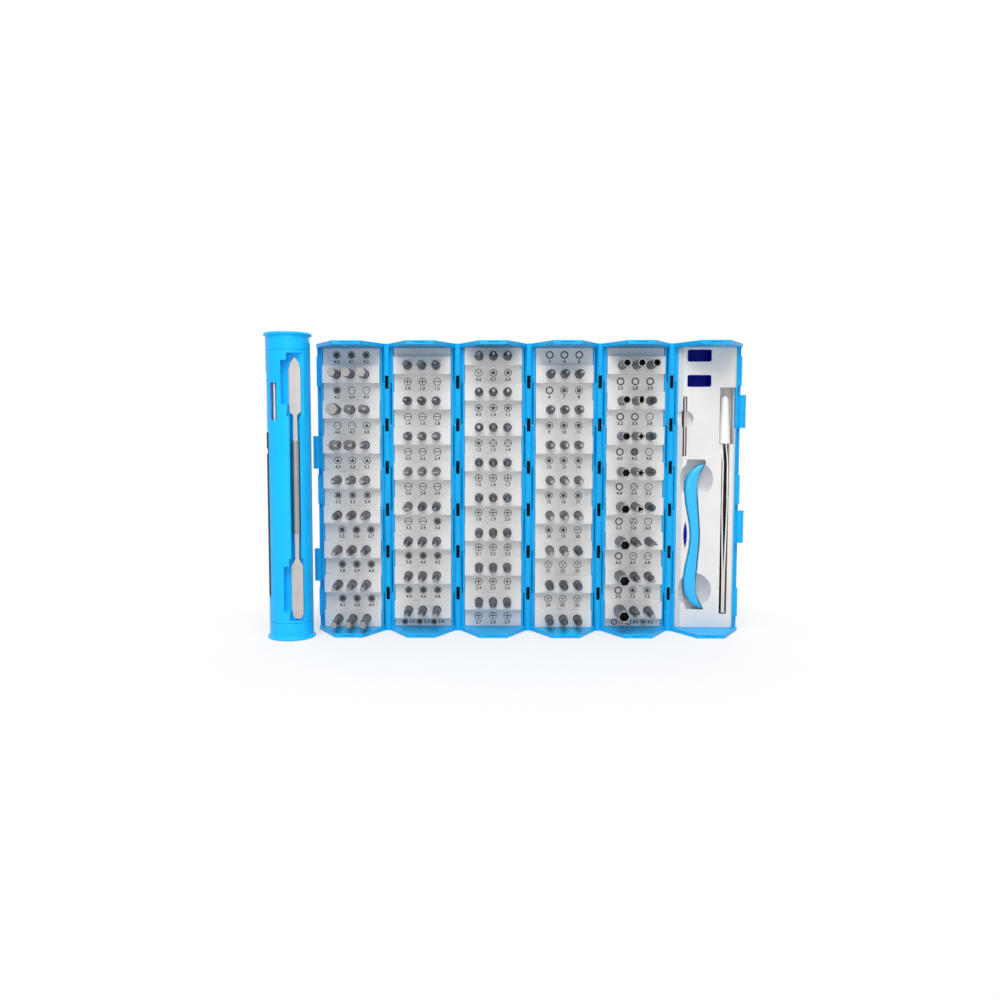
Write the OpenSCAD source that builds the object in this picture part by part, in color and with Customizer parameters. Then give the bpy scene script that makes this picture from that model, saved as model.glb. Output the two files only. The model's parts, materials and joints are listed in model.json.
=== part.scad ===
// Precision screwdriver set: six hinged panels that unroll flat or roll up round a storage tube.
// X runs along the row of panels, the panels face -Y, Z is up and everything stands on Z = 0.

/* [Panels] */
// Distance between neighbouring hinge lines, which is the width of one panel
hinge_pitch = 40; // [39.6:0.1:41]
// Height of a panel over its two end plates
panel_h = 163; // [160:1:170]
// Thickness of the end plates
plate_t = 2.2; // [1.8:0.1:2.6]
// Thickness of the curved back and of the side walls
shell_wall = 1.2; // [1:0.1:1.3]
// Gap between an insert and the shell that holds it
seat_gap = 0.1; // [0.05:0.01:0.15]
// How far the side walls stand in front of the hinge lines
rim_v = 0.8; // [0.5:0.1:1.2]
// Gap that each panel leaves to the plane where it meets its neighbour
seam_gap = 0.17; // [0.12:0.01:0.25]

/* [Hinges] */
// Radius of the hinge barrels
barrel_r = 2.2; // [2:0.05:2.3]
// Radius of the hinge pins
pin_r = 1; // [0.8:0.05:1.2]
// Radial running clearance round a hinge pin
pin_gap = 0.06; // [0.03:0.01:0.1]
// Height of one of the five middle knuckles
knuckle_h = 24; // [22:0.5:26]
// End gap between neighbouring knuckles
knuckle_gap = 0.3; // [0.2:0.05:0.5]
// Radial room round the knuckles of the neighbouring panel
turn_gap = 0.3; // [0.2:0.05:0.4]
// Width of the windows that show the pin at each knuckle end
window_w = 1.9; // [1.4:0.1:2.2]
// Height of the windows that show the pin
window_h = 7.5; // [5:0.5:9]
// Height of the lugs on the two closing edges
lug_h = 18.5; // [15:0.5:20]
// Height of the three shallow frames on each closing edge
frame_h = 16.5; // [12:0.5:17]

/* [Inserts] */
// Width of an insert
insert_w = 32.2; // [31.5:0.1:32.5]
// How far the bit rows and the tool face stand in front of the hinge lines
face_v = 3.4; // [2.8:0.1:3.6]
// How far the label strips stand in front of the hinge lines
label_v = 0; // [0:0.1:0.6]
// Distance between the three columns of bits
col_pitch = 8; // [7.7:0.1:8.2]
// Radius of the bit holes
hole_r = 2.45; // [2.4:0.01:2.5]
// Plastic left under the deepest bit holes
insert_floor = 1; // [0.8:0.1:1.4]
// Bevel along the long edges of the tool insert
tool_bevel = 2.6; // [2:0.1:3]

/* [Bits] */
// Length of a bit
bit_len = 28; // [27:0.1:28.4]
// Hexagon drive size of the bits, across flats
hex_af = 4; // [3.9:0.01:4]
// Length of the hexagon shank of a bit
shank_h = 8; // [7:0.1:8.4]
// Radius of the round stem of a bit
stem_r = 2.1; // [1.9:0.05:2.1]
// Length of the working tip of a bit
tip_h = 6; // [5:0.5:7]
// Gap between the bit tips and the tube in the rolled set
tip_gap = 0.64; // [0.4:0.02:1]

/* [Tube] */
// Radius of the storage tube
tube_r = 12; // [11.9:0.05:12.2]
// Radius of the flanges on the caps
flange_r = 13.1; // [12.8:0.05:13.3]
// Thickness of the flanges
flange_t = 2.2; // [1.6:0.1:2.4]
// Height of a cap with its flange
cap_h = 9.6; // [9:0.1:10.4]
// Spare height of the tube beyond what its longest tool needs
tube_spare = 0; // [0:0.5:6]
// Height of the flare between a flange and its cap
flare_h = 2.8; // [2:0.1:3]
// Gap between the flanges and the end plates in the rolled set
flange_gap = 0.3; // [0.2:0.02:0.5]
// Radius of the plugs under the caps
plug_r = 6.5; // [5.5:0.1:6.8]
// Length of the plugs under the caps
plug_h = 6; // [4:0.5:6.5]
// Sideways distance from the tube to the middle of the first panel in the unrolled set
tube_offset = 32; // [31:0.5:45]
// Distance of the tube in front of the hinge lines in the unrolled set
tube_front = 18; // [16:0.5:30]

/* [Driver] */
// Radius of the driver's grip
grip_r = 4.7; // [4.5:0.05:4.8]
// Length of the driver's grip without its spinning end cap
grip_h = 80; // [74:1:82]
// Length of the driver's spinning end cap
spin_h = 9.8; // [8:0.1:11]
// Radius of the driver's shaft
shaft_r = 2.9; // [2.8:0.02:3]
// Free length of the driver's shaft
shaft_h = 32; // [28:1:33]
// Sideways distance from the tube axis to the driver's axis
driver_u = 7; // [6.95:0.01:7.1]
// Distance of the driver's axis in front of the tube axis
driver_v = 2.2; // [2:0.05:2.3]
// Room round the driver in its channel
driver_gap = 0.25; // [0.15:0.01:0.3]
// Room between the driver and the plug below it
driver_low = 8.4; // [4:0.1:9]

/* [Spudger] */
// Length of the metal spudger
spudger_h = 142; // [138:1:143]
// Width of its two blades
blade_w = 6.4; // [5.8:0.1:6.6]
// Thickness of its blades
blade_t = 1.2; // [1:0.05:1.4]
// Radius of its round grip
spudger_r = 2.2; // [1.9:0.05:2.3]
// Sideways distance from the tube axis to the spudger
spudger_u = 5.2; // [4.9:0.05:5.4]
// Distance of the spudger's back face in front of the tube axis
spudger_v = 7.2; // [7:0.05:7.4]

/* [Hidden] */

$fn = 64;
panel_count = 6;
row_count = 8;
col_count = 3;
over = 1;
touch = 0.02;

azure = "#22B4F4";
navy = "#0A1F66";
shell_grey = "#DAD9D7";
steel = "#8C8A8C";
bright_steel = "#CFC8C2";
dark_steel = "#2A2C33";
cap_white = "#F0EEEA";

// Roll geometry: the hinge lines are the corners of a regular hexagon
turn = 360 / panel_count;
half = hinge_pitch / 2;
wedge = tan(turn / 2);
apothem = half / wedge;
hole_apothem = flange_r + flange_gap;
plate_front = apothem - hole_apothem;
floor_v = apothem - tube_r - tip_gap - bit_len;
insert_back_r = norm([col_pitch + hole_r, apothem - floor_v]) + insert_floor;
shell_in_r = insert_back_r + seat_gap;
shell_out_r = shell_in_r + shell_wall;
wall_in = insert_w / 2 + seat_gap;
wall_out = wall_in + shell_wall - seat_gap;

// The origin is the middle of the ground under the whole unrolled set
first_x = -2.5 * hinge_pitch;
reach_left = -first_x + tube_offset + flange_r;
reach_right = -first_x + half + barrel_r;
shift_x = (reach_left - reach_right) / 2;
reach_front = tube_front + flange_r;
reach_back = shell_out_r - apothem;
hinge_y = (reach_front - reach_back) / 2;
tube_x = first_x + shift_x - tube_offset;
tube_y = hinge_y - tube_front;

function panel_x(i) = first_x + shift_x + i * hinge_pitch;

// The tube is as tall as its longest tool needs between the caps
spudger_ends = 5.8;
driver_high = 1.2;
driver_h = spin_h + grip_h + shaft_h;
spudger_need = spudger_h + 2 * cap_h + spudger_ends;
driver_need = driver_h + 2 * (cap_h + plug_h) + driver_low + driver_high;
tube_h = max(spudger_need, driver_need) + tube_spare;
driver_z = cap_h + plug_h + driver_low - driver_gap;

// Strips of an insert: bit rows and label strips take turns, and neighbours are staggered
insert_z0 = plate_t + seat_gap;
insert_h = panel_h - 2 * insert_z0;
strip_h = insert_h / (2 * row_count);
stagger = [1, 0.5, 0, 1, 0.5];
function row_z(i, r) = insert_z0 + insert_h - (stagger[i] + 2 * r + 0.5) * strip_h;
function col_u(c) = (c - 1) * col_pitch;

// Knuckles are counted from the ground; even ones belong to the right panel of a hinge
knuckle_count = 7;
end_knuckle_h = (panel_h - (knuckle_count - 2) * knuckle_h) / 2;
function knuckle_z(j) = j == 0 ? 0 : j == knuckle_count ? panel_h : end_knuckle_h + (j - 1) * knuckle_h;
pin_floor = 1;
pin_end = 0.4;
window_back = 0.2;
web_front = 0.6;
web_back = 1.8;
cove_wall = 0.9;
cove_past = 0.9;

// Heights of the closing lugs and frames as shares of the panel height
left_lugs = [0.232, 0.626];
right_lugs = [0.368, 0.767];
frame_at = [0.101, 0.497, 0.906];
frame_back = 4;
frame_rim = 1;
frame_deep = 0.7;
closing_t = 1.2;

module at_panel(i) {
  translate([panel_x(i), hinge_y, 0]) children();
}

module at_tube() {
  translate([tube_x, tube_y, 0]) children();
}

// Points a shape that stands along Z out of the panel's face
module facing_out(u, v, z) {
  translate([u, -v, z]) rotate([90, 0, 0]) children();
}

// A sixth of the roll seen from above, cut off at the hole for the tube
module sector_outline() {
  edge = half - seam_gap;
  tip = hole_apothem * wedge - seam_gap;
  intersection() {
    translate([0, -apothem]) circle(r = shell_out_r);
    polygon([[-edge, shell_out_r], [-edge, 0], [-tip, -plate_front], [tip, -plate_front], [edge, 0],
      [edge, shell_out_r]]);
  }
}

// The tray under an insert seen from above
module tray_outline(back_r, side, front) {
  intersection() {
    translate([0, -apothem]) circle(r = back_r);
    translate([-side, -front]) square([2 * side, shell_out_r]);
  }
}

// A piece of barrel on a panel's edge, joined to the side wall by a web
module edge_barrel(side, z0, z1) {
  web = half - wall_in - seat_gap;
  translate([side * half, 0, z0]) cylinder(r = barrel_r, h = z1 - z0);
  translate([side * (half - web / 2) - web / 2, -web_front, z0]) cube([web, web_front + web_back, z1 - z0]);
}

module hinge_knuckles(side, first) {
  for (j = [first : 2 : knuckle_count - 1]) {
    low = j == 0 ? 0 : knuckle_z(j) + knuckle_gap / 2;
    high = j == knuckle_count - 1 ? panel_h : knuckle_z(j + 1) - knuckle_gap / 2;
    edge_barrel(side, low, high);
  }
}

// Coves round the backs of the neighbour's knuckles, so that no light passes between two panels
module knuckle_coves(side, first) {
  cove_r = barrel_r + turn_gap;
  out_r = cove_r + cove_wall;
  for (j = [first : 2 : knuckle_count - 1]) {
    low = max(knuckle_z(j) + knuckle_gap / 2, plate_t + turn_gap);
    high = min(knuckle_z(j + 1) - knuckle_gap / 2, panel_h - plate_t - turn_gap);
    translate([side * half, 0, low]) linear_extrude(high - low) difference() {
      intersection() {
        circle(r = out_r);
        translate([side > 0 ? -out_r : -cove_past, 0]) square([out_r + cove_past, out_r]);
      }
      circle(r = cove_r);
    }
  }
}

// Bore for the pin and the windows at the knuckle ends
module pin_room(side) {
  translate([side * half, 0, pin_floor]) cylinder(r = pin_r + pin_gap, h = panel_h);
  for (j = [1 : knuckle_count - 1])
    translate([side * half - window_w / 2, -barrel_r - over, knuckle_z(j) - window_h / 2])
      cube([window_w, barrel_r + over - window_back, window_h]);
}

// Room in a left panel for the end knuckles of the panel on its right
module neighbour_room() {
  for (z = [-over, panel_h - plate_t - over])
    translate([half, 0, z]) cylinder(r = barrel_r + turn_gap, h = plate_t + 2 * over);
}

module closing_lugs(side, places) {
  for (place = places) edge_barrel(side, place * panel_h - lug_h / 2, place * panel_h + lug_h / 2);
}

// Pads on a closing edge, each with a shallow frame in its outer face
module closing_frames(side) {
  wide = half - seam_gap - wall_in - seat_gap;
  for (place = frame_at) translate([side * (half - seam_gap - wide / 2), 0, place * panel_h]) difference() {
    translate([-wide / 2, 0, -frame_h / 2]) cube([wide, frame_back, frame_h]);
    translate([side * (wide / 2 - frame_deep), 0, 0]) translate([side > 0 ? 0 : -over, frame_rim, 0])
      translate([0, 0, frame_rim - frame_h / 2])
        cube([over, frame_back - 2 * frame_rim, frame_h - 2 * frame_rim]);
  }
}

// Strip along a closing edge, behind the pads and the lugs of both edges
module closing_strip(side) {
  wide = half - seam_gap - wall_in - seat_gap;
  translate([side * (half - seam_gap - wide / 2) - wide / 2, barrel_r + turn_gap, 0])
    cube([wide, closing_t, panel_h]);
}

module shell(i) {
  has_left = i > 0;
  has_right = i < panel_count - 1;
  color(azure) at_panel(i) difference() {
    union() {
      linear_extrude(panel_h) tray_outline(shell_out_r, wall_out, rim_v);
      for (z = [0, panel_h - plate_t]) translate([0, 0, z]) linear_extrude(plate_t) sector_outline();
      if (has_left) hinge_knuckles(-1, 0);
      if (has_left) knuckle_coves(-1, 1);
      if (!has_left) closing_lugs(-1, left_lugs);
      if (!has_left) closing_frames(-1);
      if (!has_left) closing_strip(-1);
      if (has_right) hinge_knuckles(1, 1);
      if (has_right) knuckle_coves(1, 0);
      if (!has_right) closing_lugs(1, right_lugs);
      if (!has_right) closing_frames(1);
      if (!has_right) closing_strip(1);
    }
    translate([0, 0, plate_t]) linear_extrude(panel_h - 2 * plate_t)
      tray_outline(shell_in_r, wall_in, rim_v + over);
    if (has_left) pin_room(-1);
    if (has_right) pin_room(1);
    if (has_right) neighbour_room();
  }
}

module hinge_pin(i) {
  color(dark_steel) at_panel(i) translate([half, 0, pin_floor + touch])
    cylinder(r = pin_r, h = panel_h - pin_floor - pin_end);
}

module bit_insert(i) {
  color(shell_grey) at_panel(i) difference() {
    union() {
      translate([0, 0, insert_z0]) linear_extrude(insert_h)
        tray_outline(insert_back_r, insert_w / 2, label_v);
      for (r = [0 : row_count - 1]) translate([-insert_w / 2, -face_v, row_z(i, r) - strip_h / 2])
        cube([insert_w, face_v, strip_h]);
    }
    for (r = [0 : row_count - 1], c = [0 : col_count - 1])
      facing_out(col_u(c), floor_v, row_z(i, r)) cylinder(r = hole_r, h = bit_len);
  }
}

// Tool insert: places are measured from the middle of the panel and, as shares of its height, from the ground
window_u = [-11, 1.3];
window_z = [[0.854, 0.8883] * panel_h, [0.9399, 0.9748] * panel_h];
magnet_face_v = floor_v + 3.6;
magnet_v = floor_v - 0.2;
magnet_margin = 1;
magnet_lining = 0.4;
magnet_lining_back = 0.3;
window_corner = 0.9;
card_u = -12.5;
card_slot_w = 2.2;
card_z = [0.6129, 0.8178] * panel_h;
card_notch_r = 4.6;
card_notch_z = 0.7411 * panel_h;
card_notch_deep = 3;
card_t = 0.7;
card_v = [floor_v + 2, face_v];
card_play = 0.4;
dish_r = 9.8;
dish_deep = 3.2;
dish_u = -5.9;
dish_z = [0.1466, 0.5337] * panel_h;
pick_u = -11.3;
pick_z = 0.3405 * panel_h;
pick_h = 14.8;
pick_w = 2.1;
pick_play = 0.15;
pick_v = [floor_v + 2, face_v - 0.2];
pry_mid_z = 0.3344 * panel_h;
pry_v = [floor_v + 3.4, face_v + 0.6];
pry_play = 0.5;
pry_room = [[-12.1, 0.185], [-10.9, 0.2675], [-0.9, 0.2675], [-0.1, 0.2534], [-4.5, 0.2025]];
pry_room_low = [[-12.1, 0.185], [-10.3, 0.2571], [-0.1, 0.2571], [-4.5, 0.2025]];
tweezers_u = 10.6;
tweezers_slot_w = 4.2;
tweezers_slot_z = [0.0613, 0.654] * panel_h;
tweezers_v = [floor_v + 1, face_v];
pocket_v = floor_v + 0.6;
cap_pocket_u = [6.9, 15.4];
cap_pocket_z = 0.8491 * panel_h;
cap_side_z = 0.708 * panel_h;
cap_side_v = -1;

// Half of the pry tool's outline, upwards from its middle: outer edge, tip, inner edge; heights are shares too
pry_half = [[-8.2, 0], [-8.8, 0.0429], [-11.2, 0.1166], [-11.8, 0.1564], [-11.3, 0.1933], [-9, 0.2239],
  [-5, 0.2454], [-0.6, 0.2534], [-2.9, 0.2307], [-4.5, 0.2025], [-5.1, 0.1748], [-4.9, 0.1319],
  [-4.2, 0.0828], [-3.4, 0.0215], [-3.4, 0]];
pry_tip = 7;
function pry_point(p, k, grow) =
  [p[0] + (k < pry_tip ? -grow : grow), p[1] > 0 ? p[1] * panel_h + (k == pry_tip ? grow : 0) : 0];
function pry_side(grow) = [for (k = [0 : len(pry_half) - 1]) pry_point(pry_half[k], k, grow)];
function pry_outline(grow) = concat(pry_side(grow),
  [for (k = [len(pry_half) - 2 : -1 : 1]) [pry_side(grow)[k][0], -pry_side(grow)[k][1]]]);

module pry_profile(grow) {
  translate([0, pry_mid_z]) polygon(pry_outline(grow));
}

// Open room past an end of the pry tool
module pry_end_room(points, up) {
  polygon([for (p = points) [p[0], pry_mid_z + up * p[1] * panel_h]]);
}

// Shape between two equal arcs, as tall as h and as wide as w
module lens_profile(w, h) {
  arc_r = (h * h / 4 + w * w / 4) / w;
  intersection_for(side = [-1, 1]) translate([side * (arc_r - w / 2), 0]) circle(r = arc_r, $fn = 180);
}

// Cuts a shape drawn on the panel's face from depth v0 to v1
module through_face(v0, v1) {
  translate([0, -v0, 0]) rotate([90, 0, 0]) linear_extrude(v1 - v0) children();
}

module face_box(u, v, z) {
  translate([u[0], -v[1], z[0]]) cube([u[1] - u[0], v[1] - v[0], z[1] - z[0]]);
}

module tool_insert_outline() {
  side = insert_w / 2;
  intersection() {
    translate([0, -apothem]) circle(r = insert_back_r);
    polygon([[-side, shell_out_r], [-side, tool_bevel - face_v], [tool_bevel - side, -face_v],
      [side - tool_bevel / 2, -face_v], [side, tool_bevel / 2 - face_v], [side, shell_out_r]]);
  }
}

module magnet_room(play) {
  grow = magnet_margin + play;
  face_box([window_u[0] - grow, window_u[1] + grow], [magnet_v, magnet_face_v],
    [window_z[0][0] - grow, window_z[1][1] + grow]);
}

// Outline of a magnetiser window with round corners, grown on all sides
module window_outline(z, grow) {
  w = window_u[1] - window_u[0] + 2 * grow;
  h = z[1] - z[0] + 2 * grow;
  translate([window_u[0] - grow, z[0] - grow]) {
    translate([0, window_corner]) square([w, h - 2 * window_corner]);
    translate([window_corner, 0]) square([w - 2 * window_corner, h]);
    for (u = [window_corner, w - window_corner], up = [window_corner, h - window_corner])
      translate([u, up]) circle(r = window_corner);
  }
}

module tool_insert() {
  front = face_v + over;
  dish_ball_r = (dish_r * dish_r + dish_deep * dish_deep) / (2 * dish_deep);
  color(shell_grey) at_panel(panel_count - 1) difference() {
    translate([0, 0, insert_z0]) linear_extrude(insert_h) tool_insert_outline();
    for (z = window_z) through_face(magnet_face_v - over, front) window_outline(z, magnet_lining + seat_gap);
    magnet_room(seat_gap);
    face_box([card_u - card_slot_w / 2, card_u + card_slot_w / 2], [pocket_v, front], card_z);
    facing_out(card_u, face_v - card_notch_deep, card_notch_z) cylinder(r = card_notch_r, h = bit_len);
    for (z = dish_z) translate([dish_u, -face_v - dish_ball_r + dish_deep, z]) sphere(r = dish_ball_r);
    through_face(pry_v[0] - seat_gap, front) pry_profile(pry_play);
    through_face(pry_v[0] - seat_gap, front) pry_end_room(pry_room, 1);
    through_face(pry_v[0] - seat_gap, front) pry_end_room(pry_room_low, -1);
    through_face(pocket_v, front) translate([pick_u, pick_z]) lens_profile(pick_w, pick_h);
    face_box([tweezers_u - tweezers_slot_w / 2, tweezers_u + tweezers_slot_w / 2], [pocket_v, front],
      [tweezers_slot_z[0], tweezers_slot_z[1] + over]);
    face_box(cap_pocket_u, [pocket_v, front], [tweezers_slot_z[1], cap_pocket_z]);
    face_box([tweezers_u, insert_w], [cap_side_v, front], [cap_side_z, cap_pocket_z]);
  }
}

module magnetiser() {
  color(navy) at_panel(panel_count - 1) {
    magnet_room(0);
    for (z = window_z) difference() {
      through_face(magnet_face_v - over, face_v - magnet_lining_back) window_outline(z, magnet_lining);
      face_box(window_u, [magnet_face_v - 2 * over, face_v], z);
    }
  }
}

// Thin steel card that stands on edge in its slot
module opening_card() {
  color(bright_steel) at_panel(panel_count - 1) face_box([card_u - card_t / 2, card_u + card_t / 2], card_v,
    [card_z[0] + card_play, card_z[1] - card_play]);
}

module opening_pick() {
  color(navy) at_panel(panel_count - 1) through_face(pick_v[0], pick_v[1])
    translate([pick_u, pick_z]) lens_profile(pick_w - 2 * pick_play, pick_h - 4 * pick_play);
}

module pry_tool() {
  color(azure) at_panel(panel_count - 1) through_face(pry_v[0], pry_v[1]) pry_profile(0);
}

// One arm of the tweezers: half widths up the height, and the depth that narrows under the tip cap
arm_t = 0.8;
arm_z = [0.0675, 0.2086, 0.4417, 0.6503, 0.8037] * panel_h;
arm_out = [0.9, 1, 1.8, 1.6, 0.9];
arm_in = [0, 0, 1, 0.8, 0.12];
arm_split = 0.02;
arm_tip_v = 1.6;
arm_shoulder_z = 0.589 * panel_h;

module tweezers_arm(side) {
  last = len(arm_z) - 1;
  outer = [for (k = [0 : last]) [tweezers_u + side * arm_out[k], arm_z[k]]];
  inner = [for (k = [last : -1 : 0]) [tweezers_u + side * max(arm_in[k], arm_split), arm_z[k]]];
  mid_v = (tweezers_v[0] + tweezers_v[1]) / 2;
  tip_y = [-mid_v - arm_tip_v / 2, -mid_v + arm_tip_v / 2];
  color(bright_steel) at_panel(panel_count - 1) intersection() {
    through_face(tweezers_v[0], tweezers_v[1]) polygon(concat(outer, inner));
    translate([cap_pocket_u[0], 0, 0]) rotate([90, 0, 90]) linear_extrude(cap_pocket_u[1] - cap_pocket_u[0])
      polygon([[-tweezers_v[0], arm_z[0]], [-tweezers_v[0], arm_shoulder_z], [tip_y[1], arm_z[3]],
        [tip_y[1], arm_z[4]], [tip_y[0], arm_z[4]], [tip_y[0], arm_z[3]],
        [-tweezers_v[1], arm_shoulder_z], [-tweezers_v[1], arm_z[0]]]);
  }
}

module tweezers_left_arm() {
  tweezers_arm(-1);
}

module tweezers_right_arm() {
  tweezers_arm(1);
}

// Tapered cover over the tweezers' tips, with a tapered hollow round the two arms
tip_cap_z = [0.6564, 0.8074] * panel_h;
tip_cap_r = [3.4, 2.1];
tip_hollow_r = [2.33, 1.45];
tip_room = 0.25;

module tweezers_tip_cap() {
  mid_v = (tweezers_v[0] + tweezers_v[1]) / 2;
  cap_tall = tip_cap_z[1] - tip_cap_z[0];
  deep = arm_z[4] - tip_cap_z[0] + tip_room;
  color(cap_white) at_panel(panel_count - 1) translate([tweezers_u, -mid_v, tip_cap_z[0]]) difference() {
    union() {
      cylinder(r1 = tip_cap_r[0], r2 = tip_cap_r[1], h = cap_tall);
      translate([0, 0, cap_tall]) sphere(r = tip_cap_r[1]);
    }
    translate([0, 0, -over]) cylinder(r1 = tip_hollow_r[0], r2 = tip_hollow_r[1], h = over + deep);
  }
}

// Bits stand along Z here, with the shank on the ground
module shank() {
  cylinder(r = hex_af / sqrt(3), h = shank_h, $fn = 6);
}

// Shank and round stem, narrowed to the tip, with a small shoulder round most tips
neck_h = 3;
shoulder = 0.08;
module stem(end_r) {
  stem_top = bit_len - tip_h - neck_h;
  shank();
  translate([0, 0, shank_h]) cylinder(r = stem_r, h = stem_top - shank_h);
  translate([0, 0, stem_top]) cylinder(r1 = stem_r, r2 = end_r, h = neck_h);
}

module at_tip() {
  translate([0, 0, bit_len - tip_h]) children();
}

module prism_bit(sides, r) {
  stem(r + shoulder);
  at_tip() cylinder(r = r, h = tip_h, $fn = sides);
}

function star_points(points, r_out, r_in) = [for (k = [0 : 2 * points - 1])
  let (r = k % 2 == 0 ? r_out : r_in) [r * cos(180 * k / points), r * sin(180 * k / points)]];

star_waist = 0.72;
module star_bit(points, r) {
  stem(r + shoulder);
  at_tip() linear_extrude(tip_h) polygon(star_points(points, r, r * star_waist));
}

// Flat blade, with a notch in its end where notch is more than 0
blade_ratio = 0.22;
module blade_bit(wide, notch) {
  thick = max(wide * blade_ratio, 0.4);
  stem(max(wide / 2, 0.6));
  at_tip() difference() {
    translate([-wide / 2, -thick / 2, 0]) cube([wide, thick, tip_h]);
    if (notch > 0) translate([-notch / 2, -wide, tip_h / 2]) cube([notch, 2 * wide, tip_h]);
  }
}

// Pointed tip with crossed wings round a thin core
wing_ratio = 0.36;
core_ratio = 0.45;
point_ratio = 0.3;
module winged_bit(wings, r) {
  thick = r * wing_ratio * 2;
  stem(r + shoulder);
  at_tip() cylinder(r1 = r * core_ratio, r2 = r * point_ratio * core_ratio, h = tip_h);
  at_tip() intersection() {
    cylinder(r1 = r, r2 = r * point_ratio, h = tip_h);
    for (k = [0 : wings - 1]) rotate(360 * k / wings) translate([0, -thick / 2, 0]) cube([r, thick, tip_h]);
  }
}

// Straight socket with a hexagon, star or oval recess in its end; two points mean the oval
socket_start = 0.4;
recess_h = 5;
oval_ratio = 0.62;
module socket_bit(outer_r, points, recess_r) {
  start = face_v - floor_v + socket_start;
  shank();
  translate([0, 0, shank_h]) cylinder(r = stem_r, h = start - shank_h);
  difference() {
    translate([0, 0, start]) cylinder(r = outer_r, h = bit_len - start);
    translate([0, 0, bit_len - recess_h]) {
      if (points == 6) cylinder(r = recess_r, h = bit_len, $fn = 6);
      if (points == 2) scale([oval_ratio, 1, 1]) cylinder(r = recess_r, h = bit_len);
      if (points != 6 && points != 2)
        linear_extrude(bit_len) polygon(star_points(points, recess_r, recess_r / 2));
    }
  }
}

pin_point_r = 0.15;
module pin_bit(end_r) {
  stem(end_r);
  at_tip() cylinder(r1 = end_r, r2 = pin_point_r, h = tip_h);
}

// Flat lever tip, cut to an edge on one side
module wedge_bit(wide, edge) {
  root = bit_len - tip_h - neck_h;
  stem(stem_r / 2);
  translate([wide / 2, 0, 0]) rotate([0, -90, 0]) linear_extrude(wide)
    polygon([[root, -stem_r / 2], [bit_len, -edge], [bit_len, edge], [root, stem_r / 2]]);
}

// What stands in each hole, from the top row down and from left to right: kind and size
slot_series = [for (k = [1 : 11]) ["slotted", 0.9 + 0.28 * k]];
hex_series = [for (k = [1 : 11]) ["hex", 0.4 + 0.1 * k]];
cross_series = [for (k = [0 : 14]) ["cross", 0.7 + 0.05 * k]];
lobe_series = [for (k = [0 : 16]) ["six_lobe", 0.6 + 0.07 * k]];
wing_series = [for (k = [0 : 6]) ["tri_wing", 0.7 + 0.06 * k]];
nut_r = [2.2, 2.25, 2.35, 2.5, 2.7, 3, 3.2, 3.4];
function nut(k) = ["nut", nut_r[k]];
LAYOUT = [
  concat([["hex", 2.31], ["hex", 2.6], ["hex", 2.8], ["hex", 3.4], ["spanner", 5], ["spanner", 5],
    ["spanner", 5.8], ["spanner", 5.8], ["triangle", 1.5]],
    [for (k = [0 : 2]) ["triangle", 1.8 + 0.1 * k]], [for (k = [0 : 3]) ["square", 1 + 0.2 * k]],
    [for (k = [0 : 7]) ["hex", 0.9 + 0.17 * k]]),
  concat([["pozi", 1], ["pozi", 1.2]], slot_series, hex_series),
  concat([["tri_wing", 1.1]], [for (k = [0 : 5]) ["star", 0.6 + 0.1 * k]],
    [["four_wing", 1], ["four_wing", 1.2]], cross_series),
  concat(lobe_series, wing_series),
  [nut(0), ["shaped", 6], ["shaped", 6], nut(1), ["shaped", 2], ["pin", 0.5],
    nut(2), ["shaped", 4], ["pin", 0.35], nut(3), ["shaped", 5], ["pin", 0.8],
    nut(4), ["shaped", 3], ["pin", 0.6], nut(5), ["pry", 3], ["scraper", 4],
    nut(6), ["six_lobe", 1.1], ["six_lobe", 1.2], nut(7), ["six_lobe", 1.4], ["six_lobe", 1.6]]];

shaped_r = 2.2;
shaped_recess = 0.86;
nut_recess = 0.84;
spanner_notch = 0.36;
wide_edge = 0.2;
module bit(kind, size) {
  if (kind == "hex") prism_bit(6, size);
  if (kind == "triangle") prism_bit(3, size);
  if (kind == "square") prism_bit(4, size);
  if (kind == "spanner") blade_bit(size, size * spanner_notch);
  if (kind == "slotted") blade_bit(size, 0);
  if (kind == "pozi" || kind == "cross" || kind == "four_wing") winged_bit(4, size);
  if (kind == "tri_wing") winged_bit(3, size);
  if (kind == "star") star_bit(5, size);
  if (kind == "six_lobe") star_bit(6, size);
  if (kind == "nut") socket_bit(size, 6, size * nut_recess);
  if (kind == "shaped") socket_bit(shaped_r, size == 6 ? 6 : size, shaped_r * shaped_recess);
  if (kind == "pin") pin_bit(size);
  if (kind == "pry" || kind == "scraper") wedge_bit(size, wide_edge);
}

// All the bits of one kind on one panel
module bit_group(i, kind) {
  color(steel) at_panel(i) for (k = [0 : row_count * col_count - 1]) if (LAYOUT[i][k][0] == kind)
    facing_out(col_u(k % col_count), floor_v + touch, row_z(i, floor(k / col_count)))
      bit(kind, LAYOUT[i][k][1]);
}

// Tube pockets: the spudger lies behind the front, the driver in a channel open to the left
spudger_drop = 0.9;
spudger_z0 = (tube_h - spudger_h) / 2 - spudger_drop;
pocket_end = [0.9, 2];
pocket_left = 0.5;
pocket_right = 1.3;
grip_room = 0.3;
recess_u = -1.5;
recess_share = [[0.031, 0.205], [0.8225, 0.987]];
slot_u = [-7.8, -4.1];
slot_share = [0.197, 0.825];

// Half widths of the spudger up its height, as shares of its length
spudger_share = [0, 0.02, 0.205, 0.232, 0.33];
spudger_half = [0.55, 1, 1, 0.36, 0.42];
spear_share = [0.685, 0.78, 0.795, 0.955, 0.98, 1];
spear_half = [0.42, 0.36, 1, 1, 0.7, 0.05];
spudger_grip_share = [0.33, 0.685];
wide_pocket_share = [0.235, 0.775];
thin_pocket_share = [0.2, 0.8];

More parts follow.
